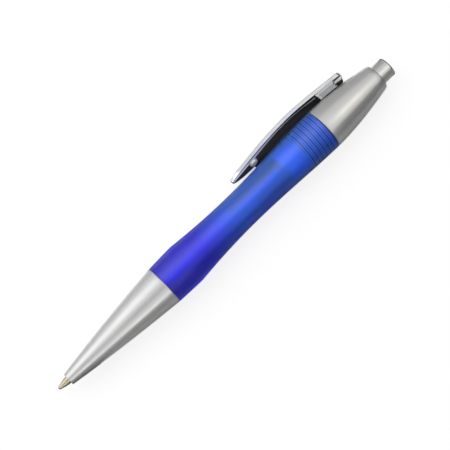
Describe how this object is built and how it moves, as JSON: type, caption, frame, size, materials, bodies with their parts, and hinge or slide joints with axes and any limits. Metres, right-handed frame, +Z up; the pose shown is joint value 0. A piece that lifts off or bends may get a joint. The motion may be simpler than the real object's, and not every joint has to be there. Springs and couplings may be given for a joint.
{
  "type": "ballpoint pen",
  "caption": "Click-action ballpoint pen lying on its side with its point out: silver nose cone and upper shell, waisted translucent barrel, bowed clip and push button.",
  "frame": {"origin": "middle of the box's underside as the pen lies, on the surface that it lies on", "axes": "+X along the pen from the ball to the push button, +Y to the side that the clip is on, +Z up"},
  "size_m": [0.14, 0.0182, 0.0139],
  "materials": {
    "satin_silver": "satin",
    "blue_translucent": "frosted translucent",
    "bright_plating": "polished",
    "button_silver": "polished satin",
    "sleeve_plastic": "natural",
    "white_plastic": "natural",
    "clear_tube": "clear",
    "nickel_silver": "turned",
    "ball_metal": "polished",
    "spring_steel": "drawn",
    "blue_ink": "wet"
  },
  "bodies": {
    "shell": {"nose_cone": "satin_silver", "barrel": "blue_translucent", "upper_shell": "satin_silver", "clip": "bright_plating", "cam_sleeve": "sleeve_plastic", "return_spring": "spring_steel"},
    "button": {"push_button": "button_silver", "plunger": "white_plastic"},
    "refill": {"refill_tube": "clear_tube", "refill_tip": "nickel_silver", "tip_ball": "ball_metal", "ink": "blue_ink"},
    "cam": {"cam_rotor": "white_plastic"}
  },
  "joints": [
    {"name": "button_press", "type": "slide", "parent": "shell", "child": "button", "axis": [1, 0, 0], "range_m": [-0.0012, 0.005]},
    {"name": "refill_slide", "type": "slide", "parent": "shell", "child": "refill", "axis": [1, 0, 0], "range_m": [-0.0012, 0.005], "deforming": ["return_spring"]},
    {"name": "cam_turn", "type": "hinge", "parent": "refill", "child": "cam", "pos_m": [0.04, -0.00215, 0.00696], "axis": [1, 0, 0], "continuous": true}
  ],
  "couplings": [
    {"joint": "refill_slide", "follows": "button_press", "ratio": 1}
  ]
}
